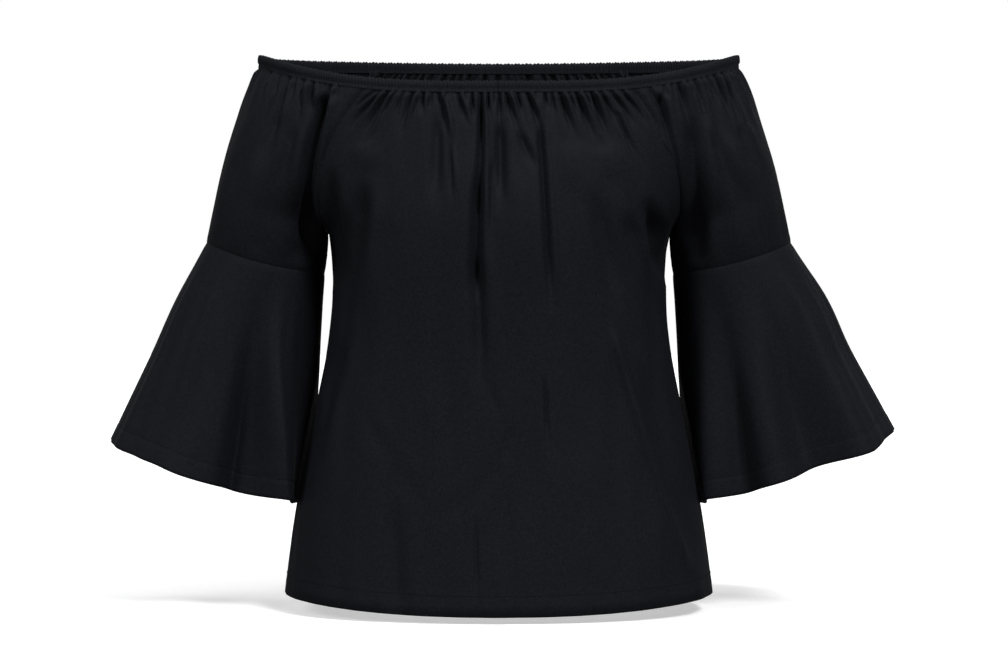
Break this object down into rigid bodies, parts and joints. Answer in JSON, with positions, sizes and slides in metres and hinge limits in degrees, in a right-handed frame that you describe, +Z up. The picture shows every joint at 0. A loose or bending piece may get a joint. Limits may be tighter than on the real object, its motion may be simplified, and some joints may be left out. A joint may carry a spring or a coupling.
{
  "type": "blouse",
  "caption": "Off-the-shoulder blouse with a gathered elastic neckline and bell-flounced raglan sleeves, filled out as it is worn and empty.",
  "frame": {"origin": "middle of the neckline ring, where the wearer's chest and upper arms hold the garment up", "axes": "+Z up, +X to the wearer's left, -Y out of the front"},
  "size_m": [0.727, 0.2419, 0.5051],
  "materials": {
    "cloth": "matte black fine crepe jersey"
  },
  "bodies": {
    "root": {"neckband": "cloth", "front": "cloth", "back": "cloth", "sleeve_left": "cloth", "sleeve_right": "cloth", "flounce_left": "cloth", "flounce_right": "cloth"}
  },
  "joints": []
}
